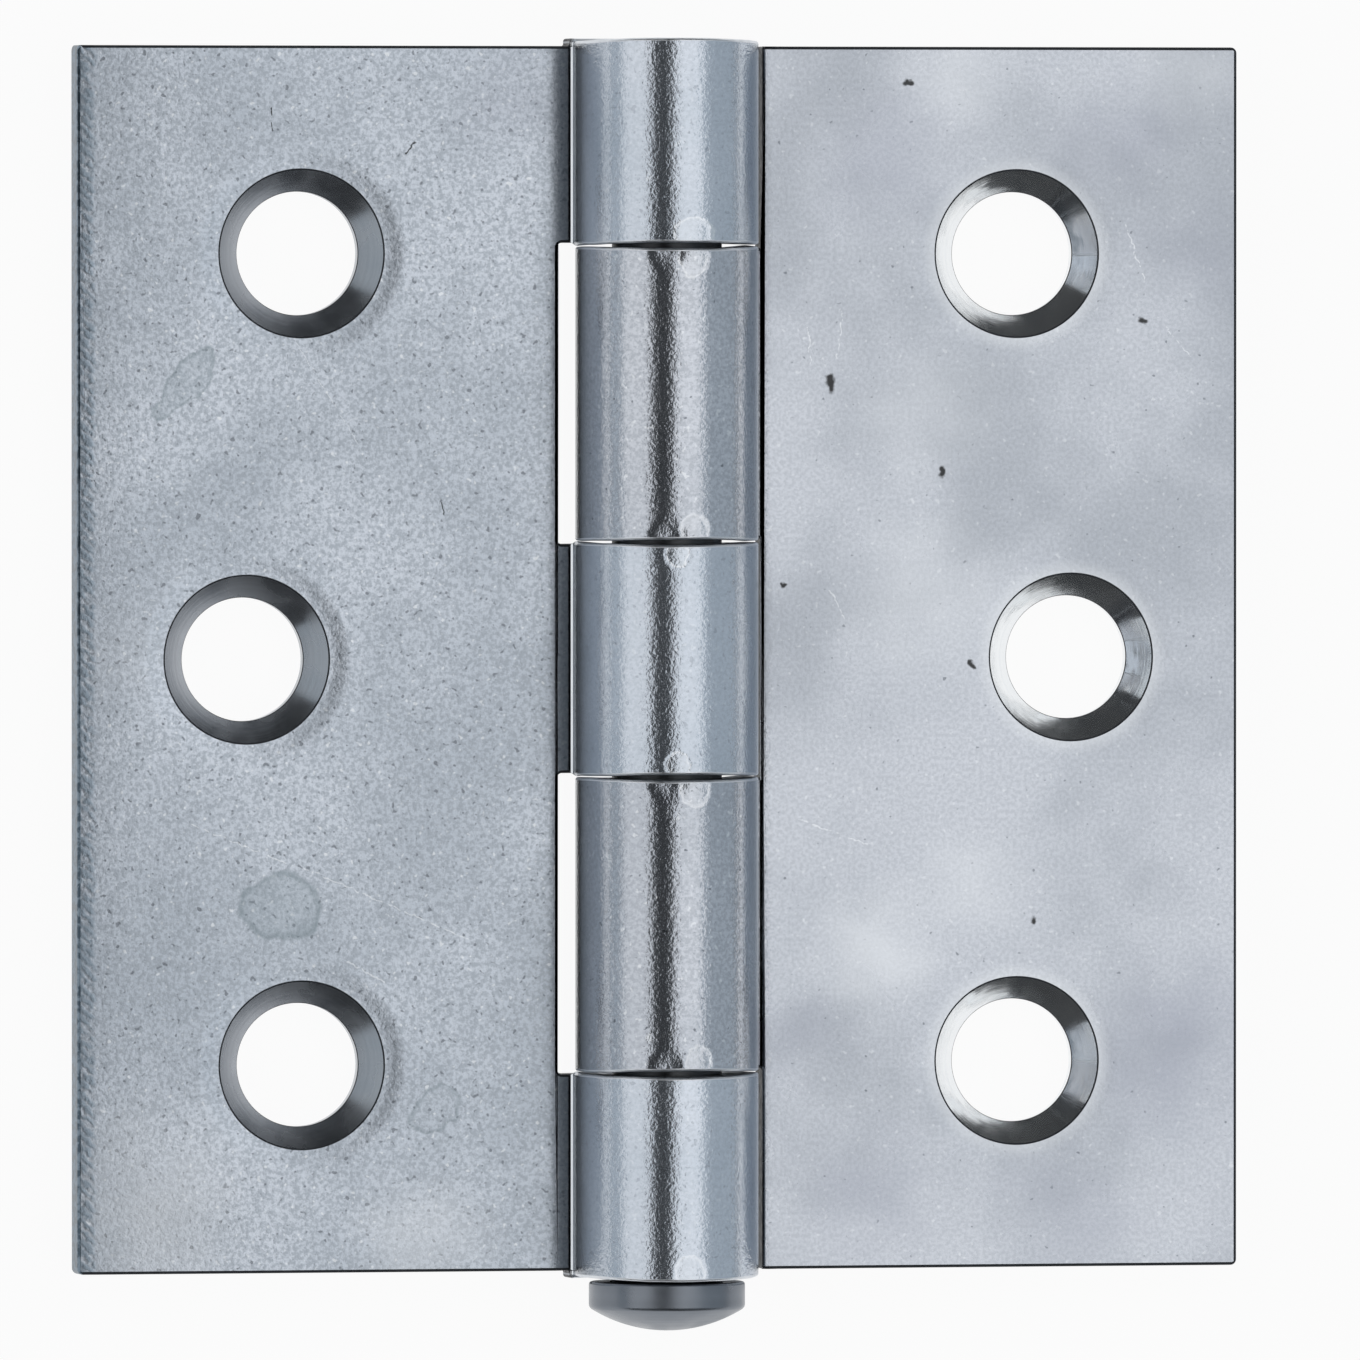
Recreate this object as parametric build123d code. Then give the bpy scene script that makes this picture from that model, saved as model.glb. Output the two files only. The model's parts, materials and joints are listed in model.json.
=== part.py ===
from build123d import *
from math import cos, radians, sin, tan
import os

# A loose pin butt hinge that lies open and flat, with its countersunk faces up.
# +X runs across the leaves, +Y along the barrel away from the pin's head, +Z up from the bench.
# The origin is on the bench, under the pin's axis, in the middle of the overall length.
# Lengths are millimetres and angles are degrees.

# Sheet and leaves
leaf_length = 63.5
leaf_reach = 30.8
sheet = 1.8
corner_round = 0.3
back_edge_break = 0.15
front_edge_break = 0.08
ground_band = 0.9
ground_drop = 0.13

# Pin and its running fit
pin_diameter = 5.7
running_clearance = 0.1
pin_recess = 0.8
pin_tip_chamfer = 0.6

# Pin head
head_diameter = 8.1
head_rim = 1.35
head_dome = 1.2
head_rim_round = 0.2
head_seat_gap = 0.12

# Knuckles, from the far end of the barrel to the end with the pin's head
end_knuckle = 10.6
inner_knuckle = 15.05
knuckle_gap = 0.28
knuckle_overhang = 0.4
notch_relief = 0.7
notch_corner_round = 0.25

# Crank that lifts each leaf off the bench, towards the pin's axis
crank_lift = 1.4
crank_angle = 15.5
crank_bend_radius = 1.0

# Free end of each roll, which stays straight and stops short of the leaf
roll_end_angle = 6.0
seam_gap = 0.18
lip_round = 0.25

# Screw holes
screw_hole = 6.4
countersink = 8.7
countersink_angle = 90.0
hole_row_spacing = 21.0
outer_hole_reach = 19.0
middle_hole_reach = 21.9

# Derived sizes of the barrel and the head
bore_radius = pin_diameter / 2 + running_clearance
barrel_radius = bore_radius + sheet
axis_height = barrel_radius
notch_reach = barrel_radius + notch_relief
leaf_front = crank_lift + sheet
head_height = head_rim + head_dome

# Derived places along the barrel
barrel_middle = (head_seat_gap + head_height) / 2
barrel_length = leaf_length + 2 * knuckle_overhang
barrel_far = barrel_middle + barrel_length / 2
barrel_near = barrel_middle - barrel_length / 2
middle_knuckle = barrel_length - 2 * end_knuckle - 2 * inner_knuckle - 4 * knuckle_gap
knuckle_lengths = [end_knuckle, inner_knuckle, middle_knuckle, inner_knuckle, end_knuckle]


def knuckle_spans():
    """Return the start and end of each knuckle along the barrel, from the far end down."""
    spans = []
    top = barrel_far
    for length in knuckle_lengths:
        spans.append((top - length, top))
        top -= length + knuckle_gap
    return spans


def on_circle(centre, radius, angle):
    """Return the point of a circle at an angle, measured from +X towards +Z."""
    return centre + Vector(cos(radians(angle)), sin(radians(angle))) * radius


def sheet_section(edge_drop):
    """Return the leaf's section across the barrel: flat, crank, roll and straight free end.

    The section is drawn for the leaf on the +X side, with X across and Z up.

    Args:
        edge_drop: how far grinding has lowered the front face at the leaf's outer edge.
    """
    axis = Vector(0, axis_height)
    crank_cos = cos(radians(crank_angle))
    crank_sin = sin(radians(crank_angle))

    # The bend's centre lies under the sheet, so that the crank runs on as a tangent of the roll.
    bend_rise = axis_height - crank_lift + crank_bend_radius
    bend_x = (crank_bend_radius + barrel_radius - bend_rise * crank_cos) / crank_sin
    bend = Vector(bend_x, crank_lift - crank_bend_radius)
    bend_middle = 90 + crank_angle / 2
    bend_end = 90 + crank_angle
    roll_start = crank_angle - 90
    roll_middle = (roll_start - 360 - roll_end_angle) / 2

    # The straight lip follows the roll's last tangent down to the seam.
    seam_angle = radians(roll_end_angle + crank_angle)
    lip_length = (bore_radius - seam_gap - barrel_radius * sin(seam_angle)) / cos(seam_angle)
    lip = Vector(-sin(radians(roll_end_angle)), -cos(radians(roll_end_angle))) * lip_length

    back_corner = Vector(leaf_reach, crank_lift)
    front_corner = Vector(leaf_reach, leaf_front - edge_drop)
    band_start = Vector(leaf_reach - ground_band, leaf_front)
    outer_lip = on_circle(axis, barrel_radius, -roll_end_angle)
    inner_lip = on_circle(axis, bore_radius, -roll_end_angle)
    front_bend = crank_bend_radius + sheet

    outline = [
        Line(back_corner, on_circle(bend, crank_bend_radius, 90)),
        ThreePointArc(
            on_circle(bend, crank_bend_radius, 90),
            on_circle(bend, crank_bend_radius, bend_middle),
            on_circle(bend, crank_bend_radius, bend_end),
        ),
        Line(on_circle(bend, crank_bend_radius, bend_end), on_circle(axis, barrel_radius, roll_start)),
        ThreePointArc(
            on_circle(axis, barrel_radius, roll_start),
            on_circle(axis, barrel_radius, roll_middle),
            outer_lip,
        ),
        Line(outer_lip, outer_lip + lip),
        Line(outer_lip + lip, inner_lip + lip),
        Line(inner_lip + lip, inner_lip),
        ThreePointArc(
            inner_lip,
            on_circle(axis, bore_radius, roll_middle),
            on_circle(axis, bore_radius, roll_start),
        ),
        Line(on_circle(axis, bore_radius, roll_start), on_circle(bend, front_bend, bend_end)),
        ThreePointArc(
            on_circle(bend, front_bend, bend_end),
            on_circle(bend, front_bend, bend_middle),
            on_circle(bend, front_bend, 90),
        ),
        Line(on_circle(bend, front_bend, 90), band_start),
        Line(band_start, front_corner),
        Line(front_corner, back_corner),
    ]
    section = make_face(outline)
    lip_corner = section.vertices().sort_by_distance(outer_lip + lip)[0]
    return fillet(lip_corner, lip_round)


def screw_cutter():
    """Return the cutter of one countersunk hole, with its top on the leaf's front face."""
    hole_radius = screw_hole / 2
    rim_radius = countersink / 2
    cone_depth = (rim_radius - hole_radius) / tan(radians(countersink_angle / 2))
    cone = Cone(hole_radius, rim_radius, cone_depth, align=(Align.CENTER, Align.CENTER, Align.MAX))
    through = Cylinder(hole_radius, sheet, align=(Align.CENTER, Align.CENTER, Align.MAX))
    return through + cone


def roll_end_edges(leaf, radius):
    """Return the arcs of one radius about the pin's axis at the ends of a leaf's knuckles."""
    arcs = leaf.edges().filter_by(GeomType.CIRCLE)
    return arcs.filter_by(lambda edge: abs(edge.radius - radius) < sheet / 1000)


def notch_cutter(low, high):
    """Return the cutter of one notch, from the roll out to the notch's wall.

    Args:
        low: the notch's lower end along the barrel.
        high: the notch's upper end along the barrel.
    """
    width = notch_reach + 2 * barrel_radius
    outline = Pos(notch_reach - width / 2, (low + high) / 2) * Rectangle(width, high - low)
    inner_corners = outline.vertices().group_by(Axis.X)[-1]
    return extrude(fillet(inner_corners, notch_corner_round), 3 * barrel_radius)


def end_trimmer(end):
    """Return the cutter that ends the flat of a leaf, short of the end knuckle beside it.

    Args:
        end: +1 for the far end of the barrel, -1 for the end with the pin's head.
    """
    block = Box(leaf_reach, 2 * knuckle_overhang, 3 * barrel_radius)
    cut_middle = barrel_middle + end * (leaf_length / 2 + knuckle_overhang)
    return Pos(barrel_radius + leaf_reach / 2, cut_middle) * block


def make_leaf(kept, edge_drop):
    """Return a leaf on the +X side.

    Args:
        kept: which of the five knuckles belong to the leaf, counted from the far end.
        edge_drop: how far grinding has lowered the front face at the leaf's outer edge.
    """
    across = Plane((0, barrel_far, 0), x_dir=(1, 0, 0), z_dir=(0, -1, 0))
    leaf = extrude(across * sheet_section(edge_drop), barrel_length)

    # Cut the other leaf's knuckles out of this one, with the running gap at each side.
    # At the barrel's ends the cut runs on past the leaf, so that its round corners lie outside.
    overrun = 2 * notch_corner_round
    for index, (low, high) in enumerate(knuckle_spans()):
        if index not in kept:
            low_end = low - knuckle_gap if index < len(knuckle_lengths) - 1 else low - overrun
            high_end = high + knuckle_gap if index > 0 else high + overrun
            leaf -= notch_cutter(low_end, high_end)

    # The press breaks the blank's back edges, which become the outer edges of the knuckles.
    # Each break follows its tangent edges from the roll's end out along the blank.
    leaf = chamfer(roll_end_edges(leaf, barrel_radius), back_edge_break)
    leaf = chamfer(roll_end_edges(leaf, bore_radius), front_edge_break)

    # End the flat a little short of the end knuckles, and round its outer corners.
    leaf -= [end_trimmer(1), end_trimmer(-1)]
    outer_corners = leaf.edges().filter_by(Axis.Z).group_by(Axis.X)[-1]
    leaf = fillet(outer_corners, corner_round)

    # Sink the screw holes, the middle one further out than its neighbours.
    places = [
        (outer_hole_reach, barrel_middle + hole_row_spacing),
        (middle_hole_reach, barrel_middle),
        (outer_hole_reach, barrel_middle - hole_row_spacing),
    ]
    for reach, along in places:
        leaf -= Pos(reach, along, leaf_front) * screw_cutter()
    return leaf


def make_pin():
    """Return the loose pin, with its head below the near end of the barrel."""
    pin_radius = pin_diameter / 2
    head_radius = head_diameter / 2
    seat = barrel_near - head_seat_gap
    rim_end = seat - head_rim
    crown = rim_end - head_dome
    tip = barrel_far - pin_recess
    half_section = make_face(
        [
            Line((0, crown), (0, tip)),
            Line((0, tip), (pin_radius - pin_tip_chamfer, tip)),
            Line((pin_radius - pin_tip_chamfer, tip), (pin_radius, tip - pin_tip_chamfer)),
            Line((pin_radius, tip - pin_tip_chamfer), (pin_radius, seat)),
            Line((pin_radius, seat), (head_radius, seat)),
            Line((head_radius, seat), (head_radius, rim_end)),
            TangentArc((0, crown), (head_radius, rim_end), tangent=(1, 0)),
        ]
    )
    rim_corners = half_section.vertices().group_by(Axis.X)[-1]
    half_section = fillet(rim_corners, head_rim_round)
    pin_plane = Plane((0, 0, axis_height))
    return revolve(pin_plane * half_section, Axis((0, 0, axis_height), (0, 1, 0)))


three_knuckle_leaf = mirror(make_leaf((0, 2, 4), ground_drop), about=Plane.YZ)
two_knuckle_leaf = make_leaf((1, 3), 0)
loose_pin = make_pin()

os.makedirs("parts", exist_ok=True)
export_step(three_knuckle_leaf, "parts/three_knuckle_leaf.step")
export_step(two_knuckle_leaf, "parts/two_knuckle_leaf.step")
export_step(loose_pin, "parts/loose_pin.step")
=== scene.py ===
"""A loose pin butt hinge of rolled steel sheet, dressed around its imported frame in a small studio."""

import json
import logging
from dataclasses import dataclass, field
from enum import Enum
from math import atan2, cos, pi, radians, sin
from typing import Any, Iterable, Optional, Union

import bmesh
import bpy
from mathutils import Euler, Matrix, Vector, noise


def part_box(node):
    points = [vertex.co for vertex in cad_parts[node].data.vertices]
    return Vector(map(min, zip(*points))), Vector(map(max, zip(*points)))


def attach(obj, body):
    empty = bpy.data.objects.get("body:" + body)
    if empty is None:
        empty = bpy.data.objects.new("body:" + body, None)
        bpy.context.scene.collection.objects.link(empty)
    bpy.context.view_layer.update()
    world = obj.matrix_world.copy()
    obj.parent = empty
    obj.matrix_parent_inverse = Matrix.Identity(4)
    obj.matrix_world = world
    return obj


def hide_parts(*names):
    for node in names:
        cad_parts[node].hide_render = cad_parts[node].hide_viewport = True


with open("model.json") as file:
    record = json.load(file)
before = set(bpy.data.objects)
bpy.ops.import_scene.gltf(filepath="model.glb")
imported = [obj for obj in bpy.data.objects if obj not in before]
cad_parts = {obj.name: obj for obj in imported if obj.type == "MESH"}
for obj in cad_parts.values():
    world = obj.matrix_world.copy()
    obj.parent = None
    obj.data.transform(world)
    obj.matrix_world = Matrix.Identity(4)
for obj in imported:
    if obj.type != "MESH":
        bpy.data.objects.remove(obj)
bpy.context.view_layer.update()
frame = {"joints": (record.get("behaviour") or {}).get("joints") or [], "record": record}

log = logging.getLogger("hinge")

MM = 0.001
MICRON = 0.000001
PHOTO_SIDE = 1360
PIXELS_PER_MM = 19.27

Colour = tuple[float, float, float]
Number = Union[float, bpy.types.NodeSocket]
VectorLike = Union[tuple[float, float, float], bpy.types.NodeSocket]
Axis = tuple[int, int, int]

# Paints of the marks on the sheet and of its edges, and of the shade painted in the roll's corner and along
# the edges
PIT_PAINT: Colour = (0.20, 0.22, 0.25)
FLECK_PAINT: Colour = (0.86, 0.89, 0.92)
NICK_PAINT: Colour = (0.03, 0.03, 0.03)
LIGHT_PATCH_PAINT: Colour = (0.70, 0.73, 0.77)
DARK_PATCH_PAINT: Colour = (0.36, 0.385, 0.45)
DROP_PAINT: Colour = (0.27, 0.33, 0.37)
DROP_RIM_PAINT: Colour = (0.22, 0.27, 0.30)
HALO_PAINT: Colour = (0.74, 0.77, 0.80)
WORN_PAINT: Colour = (0.90, 0.92, 0.94)
HATCH_PAINT: Colour = (0.29, 0.36, 0.43)
# Painted shade, laid in the corner between a leaf and the foot of its roll
CORNER_SHADE_PAINT: Colour = (0.15, 0.165, 0.18)
BURNISHED_PAINT: Colour = (0.70, 0.73, 0.77)
# Near black for the sheared and rounded edges of the flat leaf: dull sheared steel, and painted shade that
# draws their dark outlines
SHEARED_AND_SHADE_PAINTS: tuple[Colour, Colour] = ((0.02, 0.022, 0.025), (0.06, 0.065, 0.075))
GROUND_PAINTS: tuple[Colour, Colour] = ((0.08, 0.11, 0.14), (0.24, 0.30, 0.36))

# How much of its paint a mark takes
GRAIN_SHADE = 0.78
DROP_RIM_SHARE = 0.5
DIMPLE_SHARE = 0.14
SCRATCH_SHARE = 0.55
NICK_SHARE = 0.95

# How ragged the marks are: wanderings in each metre, and their reach
PATCH_WANDER = (260.0, 5.0 * MM)
DROP_WANDER = (420.0, 1.8 * MM)
DROP_EDGE_WANDER = (2400.0, 0.35 * MM)
WORN_WANDER = (1100.0, 0.5 * MM)
TORN_SCALE = 2600.0

# Features in each metre, and depths in microns
MARK_SCALE = 2800.0
SHEARED_SCALE = 2400.0
UNEVEN_SCALE = 500.0
PIT_DEPTH = 4.0
SHEARED_DEPTH = 14.0

# Where the roll starts and ends for its finishes, as shares of the barrel's radius
ROLL_CORE = 1.02
ROLL_END = 1.12
ROLL_EDGE_END = 1.08

# How thick a dried drop is taken to be, so that it doesn't show on the sheet's back
DROP_THICKNESS = 1.2 * MM


class LeafKind(Enum):
    """The two leaves, by the knuckles that each one carries, counted from the barrel's far end."""

    THREE_KNUCKLE = (0, 2, 4)
    TWO_KNUCKLE = (1, 3)

    @property
    def node(self) -> str:
        """Return the CAD node that the leaf stands for."""
        return self.name.lower() + "_leaf"

    @property
    def side(self) -> int:
        """Return the side of the barrel that the leaf lies on: -1 is left."""
        return -1 if self is LeafKind.THREE_KNUCKLE else 1

    @property
    def body(self) -> str:
        """Return the body that the leaf rides on."""
        return "fixed leaf" if self is LeafKind.THREE_KNUCKLE else "swinging leaf"

    @property
    def slot(self) -> str:
        """Return the record's material slot of the leaf."""
        return "left_leaf_steel" if self is LeafKind.THREE_KNUCKLE else "right_leaf_steel"


class Surface(Enum):
    """The surfaces of a leaf, by their material slot."""

    SHEET = 0
    COUNTERSINK = 1
    CUT_EDGE = 2
    LIP = 3


def mount(name: str) -> dict[str, Any]:
    """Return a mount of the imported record.

    Args:
        name: the mount's name.

    Returns:
        The mount as the record holds it.
    """
    return next(entry for entry in frame["record"]["mounts"] if entry["name"] == name)


def joint(name: str) -> dict[str, Any]:
    """Return a joint of the frame.

    Args:
        name: the joint's name.

    Returns:
        The joint as the record holds it.
    """
    return next(entry for entry in frame["joints"] if entry["name"] == name)


def applied_mesh(piece: bpy.types.Object) -> bpy.types.Mesh:
    """Return a new mesh of a piece with its modifiers applied.

    Args:
        piece: the piece, which keeps its modifiers.

    Returns:
        The mesh as the modifiers leave it.
    """
    graph = bpy.context.evaluated_depsgraph_get()
    return bpy.data.meshes.new_from_object(piece.evaluated_get(graph))


def new_piece(name: str, bm: bmesh.types.BMesh) -> bpy.types.Object:
    """Turn a bmesh into a linked object at the origin and free the bmesh.

    Args:
        name: the piece's name.
        bm: the finished shape, in metres.

    Returns:
        The new object.
    """
    mesh = bpy.data.meshes.new(name)
    bm.to_mesh(mesh)
    bm.free()
    piece = bpy.data.objects.new(name, mesh)
    bpy.context.scene.collection.objects.link(piece)
    return piece


def drop_piece(piece: bpy.types.Object) -> None:
    """Remove a helper object and its mesh."""
    mesh = piece.data
    bpy.data.objects.remove(piece)
    bpy.data.meshes.remove(mesh)


def across_section(place: Vector) -> Vector:
    """Return a place without its distance along the barrel."""
    return Vector((place.x, 0, place.z))


def step_to(bm: bmesh.types.BMesh, start: bmesh.types.BMVert, to: Vector) -> bmesh.types.BMVert:
    """Extrude a vertex in a straight line and return the new end."""
    made = bmesh.ops.extrude_vert_indiv(bm, verts=[start])["verts"][0]
    made.co = to
    return made


def arc_to(bm: bmesh.types.BMesh, start: bmesh.types.BMVert, centre: Vector, axis: Axis, angle: float,
           steps: int) -> bmesh.types.BMVert:
    """Spin a vertex about an axis and return the new end.

    Args:
        bm: the shape.
        start: the vertex to spin.
        centre: a point of the axis.
        axis: the axis to turn about.
        angle: how far to turn, in radians.
        steps: how many edges the arc has.

    Returns:
        The arc's last vertex.
    """
    made = bmesh.ops.spin(bm, geom=[start], cent=centre, axis=axis, angle=angle, steps=steps)
    return next(item for item in made["geom_last"] if isinstance(item, bmesh.types.BMVert))


def turn_profile(bm: bmesh.types.BMesh, axis: Axis, steps: int, place: Vector) -> None:
    """Spin a profile about the origin into a closed shape and move the shape to its place.

    Args:
        bm: the profile, which starts and ends on the axis.
        axis: the axis to turn about.
        steps: how many faces go round the shape.
        place: where the origin ends up.
    """
    bmesh.ops.spin(bm, geom=bm.verts[:] + bm.edges[:], cent=(0, 0, 0), axis=axis, angle=2 * pi, steps=steps,
                   use_merge=True)
    bmesh.ops.remove_doubles(bm, verts=bm.verts[:], dist=MICRON)
    bmesh.ops.recalc_face_normals(bm, faces=bm.faces[:])
    bmesh.ops.translate(bm, verts=bm.verts[:], vec=place)


def block(size: tuple[float, float, float], middle: tuple[float, float, float]) -> bmesh.types.BMesh:
    """Return a rectangular block.

    Args:
        size: its size along each axis.
        middle: where its middle lies.

    Returns:
        The block.
    """
    bm = bmesh.new()
    bmesh.ops.create_cube(bm, size=1.0)
    bmesh.ops.scale(bm, verts=bm.verts[:], vec=size)
    bmesh.ops.translate(bm, verts=bm.verts[:], vec=middle)
    return bm


def round_upright_edges(bm: bmesh.types.BMesh, beyond: float, radius: float, segments: int) -> None:
    """Round the upright edges that lie beyond a distance from the pin's axis.

    Args:
        bm: the shape.
        beyond: the distance across the leaf.
        radius: the radius of the rounding.
        segments: how many faces each rounding has.
    """
    edges = [
        edge for edge in bm.edges
        if all(vert.co.x > beyond - MICRON for vert in edge.verts)
        and abs(edge.verts[0].co.y - edge.verts[1].co.y) < MICRON
    ]
    bmesh.ops.bevel(bm, geom=edges, offset=radius, affect="EDGES", segments=segments, profile=0.5,
                    material=-1)


@dataclass
class NodeBench:
    """A node tree with short calls for the nodes that the finishes are made of."""

    tree: bpy.types.NodeTree

    def add(self, kind: str, **settings: Any) -> bpy.types.Node:
        """Add a node and set its properties.

        Args:
            kind: the node's type name, without the ShaderNode prefix.
            **settings: properties of the node.

        Returns:
            The new node.
        """
        node = self.tree.nodes.new("ShaderNode" + kind)
        for name, value in settings.items():
            setattr(node, name, value)
        return node

    def feed(self, socket: bpy.types.NodeSocket, value: Any) -> None:
        """Link a socket to another one, or set its value."""
        if isinstance(value, bpy.types.NodeSocket):
            self.tree.links.new(value, socket)
        else:
            socket.default_value = value

    def math(self, operation: str, *values: Number, clamp: bool = False) -> bpy.types.NodeSocket:
        """Return the result of a Math node.

        Args:
            operation: the node's operation.
            *values: the operands.
            clamp: whether the result is held between 0 and 1.

        Returns:
            The output socket.
        """
        node = self.add("Math", operation=operation, use_clamp=clamp)
        for socket, value in zip(node.inputs, values):
            self.feed(socket, value)
        return node.outputs[0]

    def vector(self, operation: str, *values: VectorLike, scale: Optional[Number] = None) -> bpy.types.Node:
        """Return a Vector Math node.

        Args:
            operation: the node's operation.
            *values: the vectors.
            scale: the factor of a SCALE operation.

        Returns:
            The node, whose outputs hold a vector and a value.
        """
        node = self.add("VectorMath", operation=operation)
        for socket, value in zip(node.inputs, values):
            self.feed(socket, value)
        if scale is not None:
            self.feed(node.inputs["Scale"], scale)
        return node

    def times(self, first: Number, second: Number, clamp: bool = False) -> bpy.types.NodeSocket:
        """Return the product of two values, held between 0 and 1 if it is clamped."""
        return self.math("MULTIPLY", first, second, clamp=clamp)

    def sink(self, height: Number, mask: Number, depth: float) -> bpy.types.NodeSocket:
        """Return a height that is lowered within a mask."""
        return self.math("SUBTRACT", height, self.times(mask, depth))

    def split(self, vector: VectorLike) -> Any:
        """Return the X, Y and Z sockets of a vector."""
        node = self.add("SeparateXYZ")
        self.feed(node.inputs[0], vector)
        return node.outputs

    def noise(self, vector: VectorLike, scale: Number, detail: float = 2.0,
              rough: float = 0.5) -> bpy.types.NodeSocket:
        """Return the value of a noise texture.

        Args:
            vector: the place on the piece.
            scale: features in each metre.
            detail: how many finer layers are added.
            rough: how strong the finer layers are.

        Returns:
            The value socket.
        """
        node = self.add("TexNoise")
        self.feed(node.inputs["Vector"], vector)
        self.feed(node.inputs["Scale"], scale)
        self.feed(node.inputs["Detail"], detail)
        self.feed(node.inputs["Roughness"], rough)
        return node.outputs["Fac"]

    def span(self, value: Number, low: Number, high: Number, to_low: Number = 0.0,
             to_high: Number = 1.0) -> bpy.types.NodeSocket:
        """Return a value eased from one range to another and held there.

        Args:
            value: the value.
            low: where the range starts.
            high: where the range ends.
            to_low: the result at the start.
            to_high: the result at the end.

        Returns:
            The result socket.
        """
        node = self.add("MapRange", interpolation_type="SMOOTHSTEP")
        for socket, item in zip(node.inputs, (value, low, high, to_low, to_high)):
            self.feed(socket, item)
        return node.outputs["Result"]

    def mix(self, share: Number, first: Any, second: Any) -> bpy.types.NodeSocket:
        """Return a mix of two colours.

        Args:
            share: how much of the second colour is taken.
            first: the first colour.
            second: the second colour.

        Returns:
            The colour socket.
        """
        node = self.add("Mix", data_type="RGBA")
        self.feed(node.inputs["Factor"], share)
        for socket, colour in ((node.inputs[6], first), (node.inputs[7], second)):
            self.feed(socket, (*colour, 1.0) if isinstance(colour, tuple) else colour)
        return node.outputs[2]

    def lay(self, colour: bpy.types.NodeSocket, paint: Colour, mask: Number,
            share: Number) -> bpy.types.NodeSocket:
        """Return a colour with a share of a paint laid over it within a mask."""
        return self.mix(self.times(mask, share), colour, paint)

    def bump(self, shader: bpy.types.Node, height: bpy.types.NodeSocket) -> None:
        """Give a shader a relief, whose height is in microns."""
        node = self.add("Bump")
        node.inputs["Strength"].default_value = 1.0
        node.inputs["Distance"].default_value = MICRON
        self.feed(node.inputs["Height"], height)
        self.feed(shader.inputs["Normal"], node.outputs["Normal"])

    def ragged(self, vector: VectorLike, scale: float, reach: float) -> bpy.types.NodeSocket:
        """Return a place that wanders, which makes the marks laid on it ragged.

        Args:
            vector: the place on the piece.
            scale: wanderings in each metre.
            reach: how far the place wanders, in metres.

        Returns:
            The vector socket.
        """
        node = self.add("TexNoise")
        self.feed(node.inputs["Vector"], vector)
        self.feed(node.inputs["Scale"], scale)
        offset = self.vector("SUBTRACT", node.outputs["Color"], (0.5, 0.5, 0.5)).outputs[0]
        moved = self.vector("SCALE", offset, scale=reach).outputs[0]
        return self.vector("ADD", vector, moved).outputs[0]

    def place(self, group: bpy.types.NodeTree, **values: Any) -> bpy.types.Node:
        """Place a node group and give it its values.

        Args:
            group: the shared effect.
            **values: the group's inputs, by name with underscores for spaces.

        Returns:
            The group node.
        """
        node = self.add("Group", node_tree=group)
        for name, value in values.items():
            self.feed(node.inputs[name.replace("_", " ")], value)
        return node


def start_material(name: str) -> tuple[bpy.types.Material, NodeBench, bpy.types.Node, bpy.types.NodeSocket]:
    """Make a material.

    Args:
        name: the material's name.

    Returns:
        The material, its bench, its shader and the socket of the place on the piece.
    """
    material = bpy.data.materials.new(name)
    material.use_nodes = True
    bench = NodeBench(material.node_tree)
    shader = bench.tree.nodes["Principled BSDF"]
    return material, bench, shader, bench.add("TexCoord").outputs["Object"]


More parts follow.
